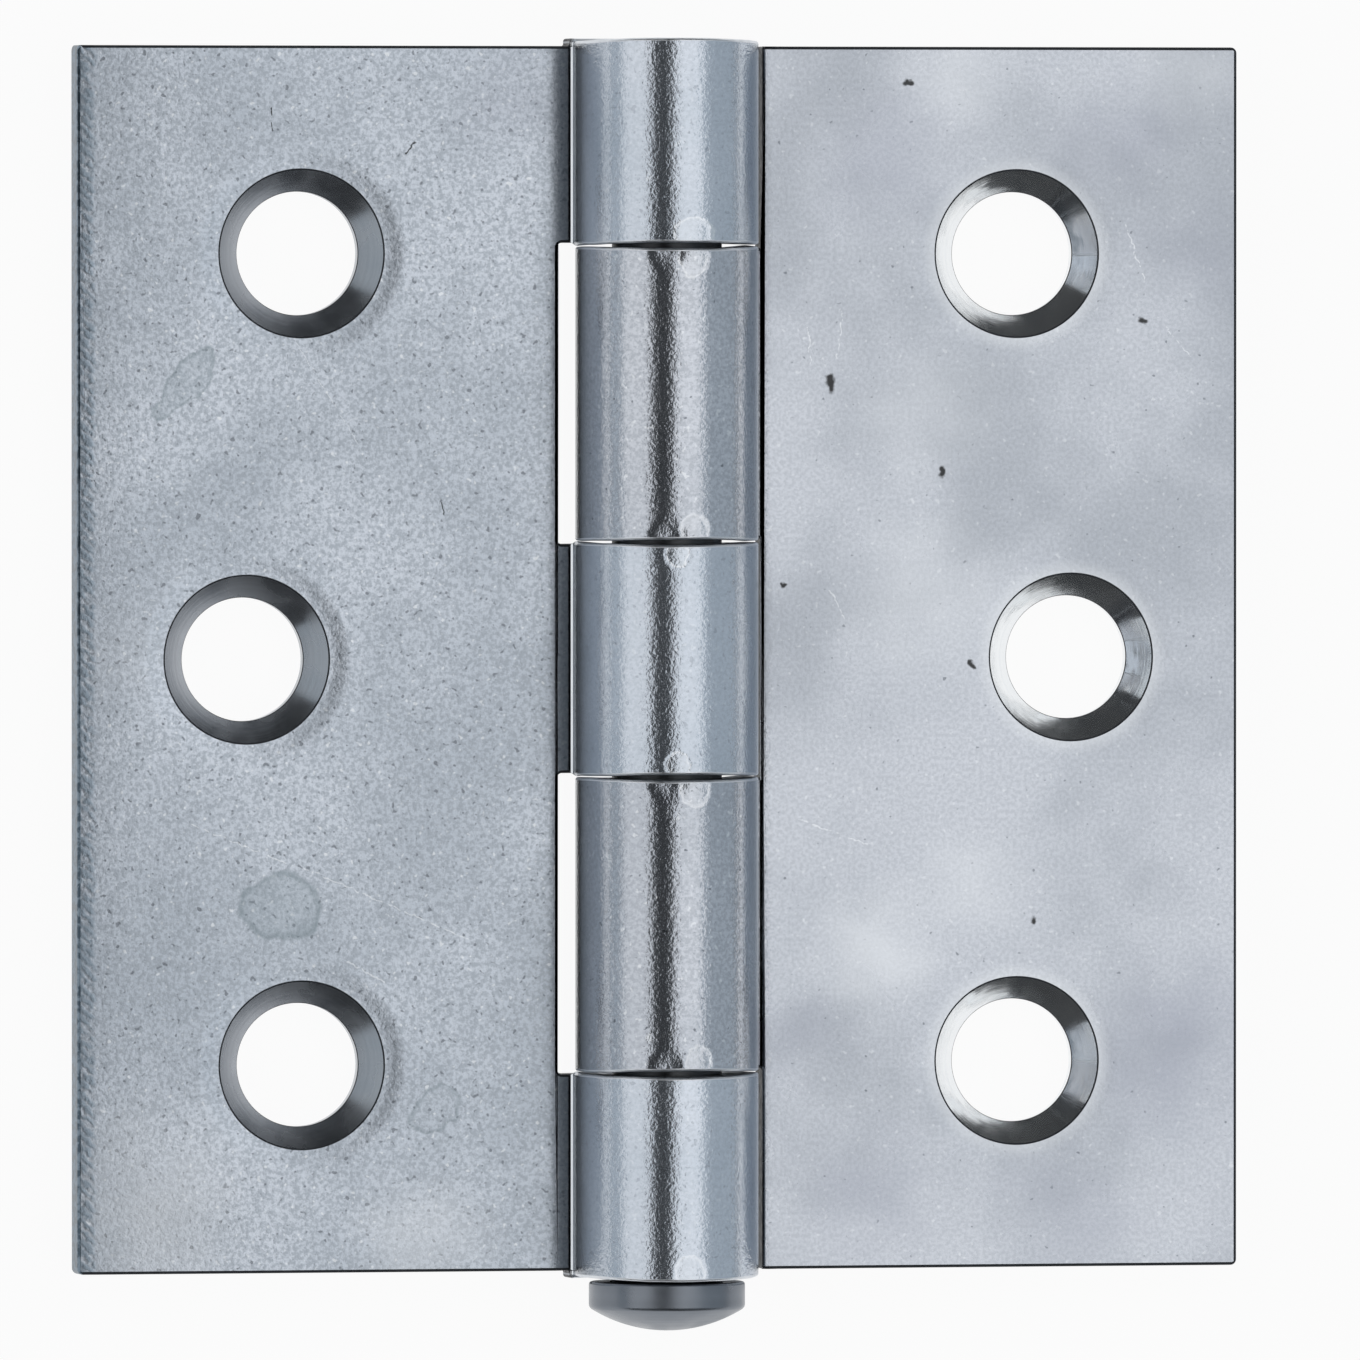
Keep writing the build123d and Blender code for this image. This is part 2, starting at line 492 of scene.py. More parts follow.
@dataclass
class Effects:
    """The shader node groups that more than one finish uses, each built once."""

    groups: dict[str, bpy.types.NodeTree] = field(default_factory=dict)

    def _start(self, name: str, inputs: Iterable[tuple[str, str]],
               outputs: Iterable[str]) -> tuple[NodeBench, Any, Any]:
        """Make an empty group.

        Args:
            name: the group's name.
            inputs: the name and kind of each input.
            outputs: the name of each value that the group puts out.

        Returns:
            The bench, the group's input sockets and its output sockets.
        """
        tree = bpy.data.node_groups.new(name, "ShaderNodeTree")
        for label, kind in inputs:
            tree.interface.new_socket(name=label, in_out="INPUT", socket_type="NodeSocket" + kind)
        for label in outputs:
            tree.interface.new_socket(name=label, in_out="OUTPUT", socket_type="NodeSocketFloat")
        self.groups[name] = tree
        source = tree.nodes.new("NodeGroupInput")
        target = tree.nodes.new("NodeGroupOutput")
        return NodeBench(tree), source.outputs, target.inputs

    def build(self) -> "Effects":
        """Build every group and return the set."""
        self._sheet_grain()
        self._clouds()
        self._thin_scratch()
        self._dried_drop()
        self._spot()
        self._painted_corner_shade()
        return self

    def _sheet_grain(self) -> None:
        """Build the skin of cold rolled sheet: a fine grain, small dark pits and light flecks."""
        bench, given, out = self._start(
            "sheet grain",
            [("Vector", "Vector"), ("Grain Scale", "Float"), ("Mark Scale", "Float"),
             ("Pit Level", "Float")],
            ["Grain", "Pits", "Flecks"],
        )
        grain = bench.noise(given["Vector"], given["Grain Scale"], detail=2.0, rough=0.6)
        marks = bench.noise(given["Vector"], given["Mark Scale"], detail=1.0, rough=0.6)
        bench.feed(out["Grain"], grain)
        pit_floor = bench.math("SUBTRACT", given["Pit Level"], 0.09)
        bench.feed(out["Pits"], bench.span(marks, given["Pit Level"], pit_floor))
        bench.feed(out["Flecks"], bench.span(marks, 0.65, 0.76))

    def _clouds(self) -> None:
        """Build a cloudy tone with soft patches and a finer mottle inside them."""
        bench, given, out = self._start(
            "cloudy tone", [("Vector", "Vector"), ("Scale", "Float"), ("Edge", "Float")], ["Tone"]
        )
        patches = bench.noise(given["Vector"], given["Scale"], detail=3.0, rough=0.55)
        low = bench.math("SUBTRACT", 0.5, given["Edge"])
        high = bench.math("ADD", 0.5, given["Edge"])
        bench.feed(out["Tone"], bench.span(patches, low, high))

    def _thin_scratch(self) -> None:
        """Build one thin scratch between two points."""
        bench, given, out = self._start(
            "thin scratch",
            [("Vector", "Vector"), ("Start", "Vector"), ("End", "Vector"), ("Width", "Float")],
            ["Scratch"],
        )
        course = bench.vector("SUBTRACT", given["End"], given["Start"]).outputs[0]
        near = bench.vector("SUBTRACT", given["Vector"], given["Start"]).outputs[0]
        reach = bench.vector("DOT_PRODUCT", near, course).outputs["Value"]
        whole = bench.vector("DOT_PRODUCT", course, course).outputs["Value"]
        share = bench.math("DIVIDE", reach, whole, clamp=True)
        foot = bench.vector("SCALE", course, scale=share).outputs[0]
        gap = bench.vector("DISTANCE", near, foot).outputs["Value"]
        inner = bench.times(given["Width"], 0.3)
        bench.feed(out["Scratch"], bench.span(gap, given["Width"], inner))

    def _dried_drop(self) -> None:
        """Build the mark of one dried drop: a ragged rim and what lies inside it."""
        bench, given, out = self._start(
            "dried drop",
            [("Vector", "Vector"), ("Centre", "Vector"), ("Turn", "Float"), ("Length", "Float"),
             ("Width", "Float")],
            ["Rim", "Inside"],
        )
        near = bench.vector("SUBTRACT", given["Vector"], given["Centre"]).outputs[0]
        turned = bench.add("VectorRotate", rotation_type="Z_AXIS")
        bench.feed(turned.inputs["Vector"], near)
        bench.feed(turned.inputs["Angle"], given["Turn"])
        size = bench.add("CombineXYZ")
        bench.feed(size.inputs[0], given["Length"])
        bench.feed(size.inputs[1], given["Width"])
        bench.feed(size.inputs[2], DROP_THICKNESS)
        reach = bench.vector("DIVIDE", turned.outputs[0], size.outputs[0]).outputs[0]
        distance = bench.vector("LENGTH", reach).outputs["Value"]
        inside = bench.span(distance, 1.0, 0.86)
        hollow = bench.span(distance, 0.92, 0.70)
        bench.feed(out["Rim"], bench.math("SUBTRACT", inside, hollow, clamp=True))
        bench.feed(out["Inside"], inside)

    def _spot(self) -> None:
        """Build one round spot that eases from 1 within its core to 0 at its edge."""
        bench, given, out = self._start(
            "round spot",
            [("Vector", "Vector"), ("Centre", "Vector"), ("Core", "Float"), ("Edge", "Float")],
            ["Spot", "Distance"],
        )
        reach = bench.vector("DISTANCE", given["Vector"], given["Centre"]).outputs["Value"]
        bench.feed(out["Spot"], bench.span(reach, given["Edge"], given["Core"]))
        bench.feed(out["Distance"], reach)

    def _painted_corner_shade(self) -> None:
        """Build the painted shade in the corner between a leaf and the foot of its roll: darker towards the
        roll and lower down.
        """
        bench, given, out = self._start(
            "corner grime",
            [("Vector", "Vector"), ("Outer Reach", "Float"), ("Inner Reach", "Float"), ("Upper", "Float"),
             ("Lower", "Float")],
            ["Grime"],
        )
        parts = bench.split(given["Vector"])
        across = bench.span(bench.math("ABSOLUTE", parts[0]), given["Outer Reach"], given["Inner Reach"])
        down = bench.span(parts[2], given["Upper"], given["Lower"])
        bench.feed(out["Grime"], bench.times(across, down))


@dataclass(frozen=True)
class DriedDrop:
    """A drop that dried on a leaf's front face, in millimetres and radians."""

    across: float
    along: float
    turn: float
    length: float
    width: float
    fill: float


@dataclass(frozen=True)
class Dimple:
    """A spot on a knuckle's crest, beside one of its ends, that a tool has pressed, in millimetres."""

    knuckle: int
    upper: bool
    across: float
    length: float
    width: float
    rim: float


@dataclass(frozen=True)
class Patch:
    """A large soft patch of a leaf's front face, lighter or darker than the rest, in millimetres."""

    across: float
    along: float
    radius: float
    tone: float


@dataclass(frozen=True)
class Nick:
    """A thin straight mark on a leaf's front face, from one end to the other, in millimetres."""

    start: tuple[float, float]
    end: tuple[float, float]
    width: float


@dataclass(frozen=True)
class Hatch:
    """The slanting marks of a grinding wheel in the band along a leaf's outer edge.

    The band eases in between two shares of its width, and stops a little short of the edge.
    """

    pitch: float = 0.42 * MM
    course: tuple[float, float, float] = (0.643, 0.766, 0.0)
    ease: tuple[float, float] = (1.15, 0.75)
    stop: tuple[float, float] = (0.12 * MM, 0.2 * MM)
    wander: float = 0.5 * MM
    wander_scale: float = 2600.0
    slip: float = 6.0
    blotch_scale: float = 1500.0
    strength: float = 0.6
    depth: float = 7.0


@dataclass(frozen=True)
class SheetFinish:
    """How the rolled sheet of one leaf looks."""

    name: str
    light: Colour
    dark: Colour
    cloud_scale: float
    cloud_edge: float
    rough_low: float
    rough_high: float
    roll_rough: float
    grain_scale: float
    grain_tone: float
    grain_depth: float
    roll_grain: float
    roll_relief: float
    pit_level: float
    pit_tone: float
    fleck_tone: float
    # How dark the painted shade in the roll's corner is, and how far out from the roll it reaches, in
    # millimetres
    corner_shade_tone: float
    corner_shade_reach: float
    rim_dish_depth: float
    rim_halo: float
    nick_wander: float
    end_dent_depth: float
    dimples: tuple[Dimple, ...] = ()
    patches: tuple[Patch, ...] = ()
    drops: tuple[DriedDrop, ...] = ()
    scratches: tuple[Nick, ...] = ()
    nicks: tuple[Nick, ...] = ()


LEFT_SHEET = SheetFinish(
    name="left_sheet_steel",
    light=(0.63, 0.675, 0.745),
    dark=(0.525, 0.58, 0.65),
    cloud_scale=110.0,
    cloud_edge=0.28,
    rough_low=0.32,
    rough_high=0.40,
    roll_rough=0.19,
    grain_scale=5200.0,
    grain_tone=1.0,
    grain_depth=20.0,
    roll_grain=0.35,
    roll_relief=1.1,
    pit_level=0.355,
    pit_tone=0.8,
    fleck_tone=0.62,
    corner_shade_tone=0.72,
    corner_shade_reach=1.5,
    rim_dish_depth=115.0,
    rim_halo=0.0,
    nick_wander=0.3,
    end_dent_depth=0.0,
    dimples=(
        Dimple(0, False, 0.47, 1.25, 0.95, 0.42),
        Dimple(2, True, -0.45, 0.62, 0.85, 0.50),
        Dimple(2, False, -0.45, 0.62, 0.85, 0.42),
        Dimple(4, False, 0.22, 0.85, 1.00, 0.25),
    ),
    patches=(
        Patch(-7.7, 30.3, 5.0, -0.3),
        Patch(-28.0, 2.0, 5.0, 0.15),
        Patch(-27.0, -26.8, 7.0, 0.5),
        Patch(-12.8, -29.0, 5.0, 0.4),
    ),
    drops=(
        DriedDrop(-25.3, 15.5, -0.75, 2.6, 0.9, 0.26),
        DriedDrop(-20.2, -11.5, 0.3, 2.2, 1.9, 0.30),
        DriedDrop(-12.0, -21.9, -0.3, 1.6, 1.2, 0.05),
    ),
    scratches=(
        Nick((-25.0, -7.1), (-19.6, -9.3), 0.05),
        Nick((-19.0, -9.4), (-10.2, -13.2), 0.05),
        Nick((-16.6, -14.3), (-14.6, -15.4), 0.06),
        Nick((-22.0, 22.0), (-16.0, 12.5), 0.03),
    ),
    nicks=(
        Nick((-20.6, 29.9), (-20.6, 28.7), 0.05),
        Nick((-13.5, 27.5), (-13.0, 28.1), 0.07),
        Nick((-11.6, 9.4), (-11.5, 8.8), 0.06),
    ),
)

RIGHT_SHEET = SheetFinish(
    name="right_sheet_steel",
    light=(0.58, 0.61, 0.665),
    dark=(0.485, 0.52, 0.575),
    cloud_scale=85.0,
    cloud_edge=0.22,
    rough_low=0.24,
    rough_high=0.36,
    roll_rough=0.17,
    grain_scale=5000.0,
    grain_tone=0.45,
    grain_depth=16.0,
    roll_grain=1.5,
    roll_relief=1.35,
    pit_level=0.285,
    pit_tone=0.8,
    fleck_tone=0.3,
    corner_shade_tone=0.92,
    corner_shade_reach=0.15,
    rim_dish_depth=40.0,
    rim_halo=0.4,
    nick_wander=0.4,
    end_dent_depth=150.0,
    dimples=(
        Dimple(1, True, 0.33, 0.80, 1.10, 0.42),
        Dimple(1, False, 0.45, 0.80, 0.95, 0.25),
        Dimple(3, True, 0.45, 0.85, 1.00, 0.32),
        Dimple(3, False, 0.65, 0.80, 0.90, 0.25),
    ),
    patches=(
        Patch(11.9, 26.9, 5.5, -0.5),
        Patch(24.8, 28.4, 5.0, -0.5),
        Patch(28.2, 22.5, 4.5, -0.4),
        Patch(10.9, -26.5, 5.5, -0.5),
        Patch(21.8, -27.5, 5.5, -0.45),
        Patch(27.4, -19.0, 6.5, -0.75),
        Patch(7.0, -18.5, 4.0, -0.45),
        Patch(13.8, 4.9, 6.0, 0.4),
        Patch(11.4, -13.8, 4.5, 0.7),
        Patch(16.5, -10.2, 4.0, 0.4),
        Patch(14.3, 14.2, 5.0, 0.3),
        Patch(16.0, 32.0, 4.5, 0.45),
        Patch(28.5, 32.0, 4.0, 0.4),
    ),
    scratches=(
        Nick((9.7, 19.4), (9.4, 16.9), 0.05),
        Nick((7.8, 19.0), (8.0, 16.6), 0.05),
        Nick((24.8, 23.9), (25.9, 20.8), 0.05),
        Nick((26.6, 19.0), (28.3, 17.0), 0.05),
        Nick((9.0, 4.9), (9.8, 3.4), 0.06),
        Nick((7.4, -7.1), (11.1, -8.4), 0.05),
    ),
    nicks=(
        Nick((9.0, 15.9), (9.1, 15.3), 0.28),
        Nick((15.0, 11.1), (15.0, 10.8), 0.24),
        Nick((13.1, 31.2), (13.4, 31.2), 0.22),
        Nick((25.6, 18.9), (25.9, 18.8), 0.20),
        Nick((16.5, 1.1), (16.7, 0.8), 0.18),
        Nick((19.9, -12.3), (19.9, -12.4), 0.20),
        Nick((6.5, 5.1), (6.6, 5.1), 0.16),
    ),
)


@dataclass(frozen=True)
class TurnedFinish:
    """How a turned, cut or drawn surface looks."""

    name: str
    light: Colour
    dark: Colour
    rough_low: float
    rough_high: float
    ring_scale: float
    ring_depth: float
    uneven_depth: float


COUNTERSINK_LEFT = TurnedFinish("left_countersink_steel", (0.50, 0.53, 0.57), (0.38, 0.40, 0.43), 0.20,
                                0.30, 9000.0, 1.5, 8.0)
COUNTERSINK_RIGHT = TurnedFinish("right_countersink_steel", (0.97, 0.98, 0.98), (0.82, 0.85, 0.88), 0.08,
                                 0.16, 9000.0, 1.0, 30.0)
LIP_STEEL = TurnedFinish("burnished_lip_steel", (0.86, 0.89, 0.92), (0.72, 0.75, 0.79), 0.22,
                         0.34, 1200.0, 1.0, 6.0)
HEAD_STEEL = TurnedFinish("pin_head_steel", (0.28, 0.31, 0.35), (0.13, 0.14, 0.16), 0.26,
                          0.42, 2600.0, 1.5, 24.0)
# Painted shade: the shank shows only in the narrow gaps between the knuckles, and is near black for their
# shade
SHANK_PAINTED_SHADE_STEEL = TurnedFinish("oiled_shank_steel", (0.10, 0.105, 0.11), (0.05, 0.052, 0.055), 0.28,
                           0.42, 2600.0, 1.0, 6.0)


@dataclass
class RolledLeaf:
    """One leaf: sheet that is cranked beside the barrel and rolled round the pin, with countersunk holes.

    Lengths are metres and angles are degrees. The leaf is built on the right of the barrel.
    """

    kind: LeafKind
    effects: Effects
    finish: SheetFinish
    sink_finish: TurnedFinish
    sheet: float = 1.8 * MM
    lift: float = 1.4 * MM
    crank_angle: float = 15.5
    bend_radius: float = 2.5 * MM
    roll_end_angle: float = 6.0
    seam_gap: float = 0.18 * MM
    corner_round: float = 0.3 * MM
    knuckle_gap: float = 0.28 * MM
    end_knuckle: float = 10.6 * MM
    inner_knuckle: float = 15.05 * MM
    notch_relief: float = 0.7 * MM
    notch_corner_round: float = 0.25 * MM
    rim_radius: float = 4.35 * MM
    sharp_angle: float = 28.0
    edge_round: float = 0.15 * MM
    fine_edge_round: float = 0.05 * MM
    edge_wander: float = 0.04 * MM
    inner_crown: float = -0.10 * MM
    outer_crown: float = 0.16 * MM
    crown_reach: float = 1.06
    lip_flare: float = 0.18 * MM
    lip_flare_height: float = 0.11 * MM
    ground_band: float = 0.9 * MM
    ground_drop: float = 0.13 * MM
    dimple_inset: float = 0.5 * MM
    dimple_depth: float = 30.0
    dimple_core: float = 0.6
    end_dent_across: float = -0.85 * MM
    end_dent_radius: float = 1.4 * MM
    rim_dish: float = 1.2 * MM
    halo_width: float = 0.9 * MM
    # Where the painted corner shade fades out above the axis, where it is full above the leaf's front, and
    # how close to the roll it is full
    corner_shade_top: float = 3.4 * MM
    corner_shade_foot: float = 1.6 * MM
    corner_shade_ease: float = 0.05 * MM
    hatch: Hatch = Hatch()
    wander_turns: float = 2.6
    wander_pitch: float = 977.0
    roll_steps: int = 112
    hole_steps: int = 112
    bend_steps: int = 8
    corner_steps: int = 5
    notch_steps: int = 6
    edge_steps: int = 4

    def __post_init__(self) -> None:
        """Take the leaf's place and reach from the frame."""
        low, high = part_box(self.kind.node)
        self.near, self.far = low.y, high.y
        self.barrel_near, self.barrel_far = (end.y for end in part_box(LeafKind.THREE_KNUCKLE.node))
        self.flat_near, self.flat_far = (end.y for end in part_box(LeafKind.TWO_KNUCKLE.node))
        self.reach = max(-low.x, high.x)
        self.barrel_radius = high.z / 2
        self.axis = Vector((0.0, 0.0, joint("leaf_swing")["pos_m"][2]))
        self.front = self.lift + self.sheet
        self.notch_reach = self.barrel_radius + self.notch_relief
        outer = mount(self.kind.node + "_outer_screws")
        middle = mount(self.kind.node + "_middle_screw")
        self.hole_radius = outer["dims"]["hole_r_mm"] * MM
        half_row = outer["dims"]["spacing_y_mm"] * MM / 2
        along = outer["pos_m"][1]
        outer_reach = abs(outer["pos_m"][0])
        self.holes = [
            (outer_reach, along + half_row),
            (abs(middle["pos_m"][0]), middle["pos_m"][1]),
            (outer_reach, along - half_row),
        ]

    @property
    def knuckles(self) -> list[tuple[float, float]]:
        """Return the ends of the five knuckles along the barrel, from the far end down."""
        barrel = self.barrel_far - self.barrel_near
        middle = barrel - 2 * self.end_knuckle - 2 * self.inner_knuckle - 4 * self.knuckle_gap
        spans = []
        top = self.barrel_far
        for length in (self.end_knuckle, self.inner_knuckle, middle, self.inner_knuckle, self.end_knuckle):
            spans.append((top - length, top))
            top -= length + self.knuckle_gap
        return spans

    def _draw_back(self, bm: bmesh.types.BMesh) -> None:
        """Draw the back of the sheet's section as one wire: flat, bend, crank, roll and straight lip."""
        turn = radians(self.crank_angle)
        rise = self.axis.z - self.lift + self.bend_radius
        bend_x = (self.bend_radius + self.barrel_radius - rise * cos(turn)) / sin(turn)
        bend = Vector((bend_x, self.near, self.lift - self.bend_radius))
        start = bm.verts.new((self.reach, self.near, self.lift))
        end = step_to(bm, start, Vector((bend_x, self.near, self.lift)))
        end = arc_to(bm, end, bend, (0, -1, 0), turn, self.bend_steps)
        roll_start = Vector((sin(turn), 0, -cos(turn))) * self.barrel_radius
        end = step_to(bm, end, Vector((roll_start.x, self.near, self.axis.z + roll_start.z)))
        sweep = radians(270 + self.crank_angle + self.roll_end_angle)
        centre = Vector((0, self.near, self.axis.z))
        end = arc_to(bm, end, centre, (0, 1, 0), sweep, round(self.roll_steps * sweep / (2 * pi)))
        step_to(bm, end, end.co + self.lip_course * self.lip_length)

    @property
    def lip_length(self) -> float:
        """Return the length of the straight lip, which stops a seam's width above the crank."""
        turn = radians(self.roll_end_angle + self.crank_angle)
        bore = self.barrel_radius - self.sheet
        return (bore - self.seam_gap - self.barrel_radius * sin(turn)) / cos(turn)

    @property
    def lip_course(self) -> Vector:
        """Return the direction in which the straight lip runs down to the seam."""
        return Vector((-sin(radians(self.roll_end_angle)), 0, -cos(radians(self.roll_end_angle))))

    @property
    def lip_side(self) -> Vector:
        """Return the direction in which the lip's outer face looks."""
        return Vector((cos(radians(self.roll_end_angle)), 0, -sin(radians(self.roll_end_angle))))

    @property
    def lip_corner(self) -> Vector:
        """Return the lip's outer corner, at the height of the axis along the barrel."""
        return self.axis + self.lip_side * self.barrel_radius + self.lip_course * self.lip_length

    def _blank(self) -> bpy.types.Object:
        """Return the rolled sheet in full length, before its cut-outs."""
        bm = bmesh.new()
        self._draw_back(bm)
        made = bmesh.ops.extrude_edge_only(bm, edges=bm.edges[:])["geom"]
        moved = [item for item in made if isinstance(item, bmesh.types.BMVert)]
        bmesh.ops.translate(bm, verts=moved, vec=(0, self.far - self.near, 0))
        bm.normal_update()
        flat = max(bm.faces, key=lambda face: face.calc_center_median().x)
        if flat.normal.z > 0:
            bmesh.ops.reverse_faces(bm, faces=bm.faces[:])
        blank = new_piece("blank", bm)
        wall = blank.modifiers.new("sheet", "SOLIDIFY")
        wall.thickness = self.sheet
        wall.offset = -1.0
        wall.use_even_offset = True
        wall.use_quality_normals = True
        blank.data = applied_mesh(blank)
        blank.modifiers.clear()
        bm = bmesh.new()
        bm.from_mesh(blank.data)
        self._flare_lip(bm)
        bm.to_mesh(blank.data)
        bm.free()
        return blank

    def _flare_lip(self, bm: bmesh.types.BMesh) -> None:
        """Turn the last edge of the lip outwards, as shearing leaves it."""
        corner = self.lip_corner
        zone = 1.2 * self.sheet
        near = [
            face for face in bm.faces
            if all((across_section(vert.co) - corner).length < zone for vert in face.verts)
        ]
        edges = list(dict.fromkeys(edge for face in near for edge in face.edges))
        verts = list(dict.fromkeys(vert for face in near for vert in face.verts))
        bmesh.ops.bisect_plane(bm, geom=near + edges + verts, dist=MICRON / 10,
                               plane_co=corner - self.lip_course * self.lip_flare_height,
                               plane_no=self.lip_course)
        outer = [vert for vert in bm.verts if (across_section(vert.co) - corner).length < 10 * MICRON]
        bmesh.ops.translate(bm, verts=outer, vec=self.lip_side * self.lip_flare)

    def _grind_edge(self, bm: bmesh.types.BMesh) -> None:
        """Slope the front of the leaf's outer edge, where it was ground after shearing."""
        start = self.reach - self.ground_band
        bmesh.ops.bisect_plane(bm, geom=bm.verts[:] + bm.edges[:] + bm.faces[:], dist=MICRON / 10,
                               plane_co=(start, 0, 0), plane_no=(1, 0, 0))
        outer = [vert for vert in bm.verts if vert.co.x > start and vert.co.z > self.front - MICRON]
        slope = Matrix.Identity(4)
        slope[2][0] = -self.ground_drop / self.ground_band
        slope[2][3] = start * self.ground_drop / self.ground_band
        bmesh.ops.transform(bm, matrix=slope, verts=outer)

    def _notch_cutter(self, low: float, high: float) -> bmesh.types.BMesh:
        """Return a block that cuts one notch, with round inner corners.

        Args:
            low: the notch's lower end.
            high: the notch's upper end.

        Returns:
            The cutter.
        """
        width = self.notch_reach + 2 * self.barrel_radius
        bm = block((width, high - low, 4 * self.barrel_radius),
                   (self.notch_reach - width / 2, (low + high) / 2, self.axis.z))
        round_upright_edges(bm, self.notch_reach, self.notch_corner_round, self.notch_steps)
        return bm

    def _end_trimmer(self, end: float, way: int) -> bmesh.types.BMesh:
        """Return a block that ends the flat of the leaf short of the end knuckle beside it.

        Args:
            end: the end of the flat along the barrel.
            way: 1 at the far end, -1 at the near end.

        Returns:
            The cutter.
        """
        depth = 2 * (self.barrel_far - self.flat_far)
        return block((self.reach, depth, 4 * self.barrel_radius),
                     (self.barrel_radius + self.reach / 2, end + way * depth / 2, self.axis.z))

    def _screw_cutter(self, across: float, along: float) -> bmesh.types.BMesh:
        """Return a turned cutter of one countersunk hole.

        Args:
            across: the hole's distance from the pin's axis.
            along: the hole's place along the barrel.

        Returns:
            The cutter.
        """
        beyond = self.sheet / 2
        cone = self.rim_radius - self.hole_radius
        bm = bmesh.new()
        profile = [
            Vector((0, 0, self.front + beyond)),
            Vector((self.rim_radius + beyond, 0, self.front + beyond)),
            Vector((self.hole_radius, 0, self.front - cone)),
            Vector((self.hole_radius, 0, self.lift - beyond)),
            Vector((0, 0, self.lift - beyond)),
        ]
        end = bm.verts.new(profile[0])
        for point in profile[1:]:
            end = step_to(bm, end, point)
        turn_profile(bm, (0, 0, 1), self.hole_steps, Vector((across, along, 0)))
        return bm

    def _cutter(self) -> bpy.types.Object:
        """Return every cutter of the leaf as one object."""
        past = 2 * self.notch_corner_round
        shapes = [self._screw_cutter(*hole) for hole in self.holes]
        if self.kind is LeafKind.THREE_KNUCKLE:
            shapes += [self._end_trimmer(self.flat_far, 1), self._end_trimmer(self.flat_near, -1)]
        for index, (low, high) in enumerate(self.knuckles):
            if index not in self.kind.value:
                lower = low - (past if index == len(self.knuckles) - 1 else self.knuckle_gap)
                upper = high + (past if index == 0 else self.knuckle_gap)
                shapes.append(self._notch_cutter(lower, upper))
        joined = bmesh.new()
        for shape in shapes:
            part = bpy.data.meshes.new("cutter_part")
            shape.to_mesh(part)
            shape.free()
            joined.from_mesh(part)
            bpy.data.meshes.remove(part)
        return new_piece("cutter", joined)

    def _shape_knuckle_ends(self, bm: bmesh.types.BMesh) -> None:
        """Crown the knuckles' ends and let the sheared edges wander a little, as a press leaves them."""
        for vert in bm.verts:
            off_axis = across_section(vert.co - self.axis)
            if off_axis.length > self.barrel_radius * self.crown_reach:
                continue
            for index in self.kind.value:
                for end, inwards in zip(self.knuckles[index], (1, -1)):
                    if abs(vert.co.y - end) < 10 * MICRON:
                        around = off_axis.normalized() * self.wander_turns
                        around.y = end * self.wander_pitch
                        inner = self.near + MICRON < end < self.far - MICRON
                        crown = self.inner_crown if inner else self.outer_crown
                        fall = min(1.0, (off_axis.x / self.barrel_radius) ** 2) * crown
                        vert.co.y += inwards * (fall + noise.noise(around) * self.edge_wander)

    def _surface(self, face: bmesh.types.BMFace) -> Surface:
        """Return which surface of the leaf a face belongs to."""
        middle = face.calc_center_median()
        steep, level = 0.7, 0.9
        for across, along in self.holes:
            off_centre = Vector((across, along)) - middle.xy
            if abs(face.normal.z) < level and off_centre.length < self.rim_radius:
                return Surface.COUNTERSINK
        lip = self.lip_corner - self.lip_course * self.lip_flare_height / 2
        lip += self.lip_side * self.lip_flare / 2
        on_lip = (across_section(middle) - lip).length < self.lip_flare / 2
        if on_lip and abs(face.normal.y) < steep:
            return Surface.LIP
        outer_edge = face.normal.x > steep and middle.x > self.reach - self.corner_round
        notch_wall = face.normal.x < -steep and middle.x > self.barrel_radius
        if abs(face.normal.y) > steep or outer_edge or notch_wall:
            return Surface.CUT_EDGE
        return Surface.SHEET

    def _edge_width(self, edge: bmesh.types.BMEdge) -> float:
        """Return how wide a sharp edge is rounded."""
        surfaces = {face.material_index for face in edge.link_faces}
        runs_down = abs(edge.verts[0].co.z - edge.verts[1].co.z) > MICRON
        if surfaces == {Surface.COUNTERSINK.value} and runs_down:
            return 0.0
        if surfaces & {Surface.COUNTERSINK.value, Surface.LIP.value}:
            return self.fine_edge_round
        return self.edge_round

    def _weigh_edges(self, bm: bmesh.types.BMesh) -> None:
        """Give each sharp edge its share of the widest rounding."""
        share = bm.edges.layers.float.new("bevel_weight_edge")
        for edge in bm.edges:
            if edge.is_manifold and edge.calc_face_angle() > radians(self.sharp_angle):
                edge[share] = self._edge_width(edge) / self.edge_round

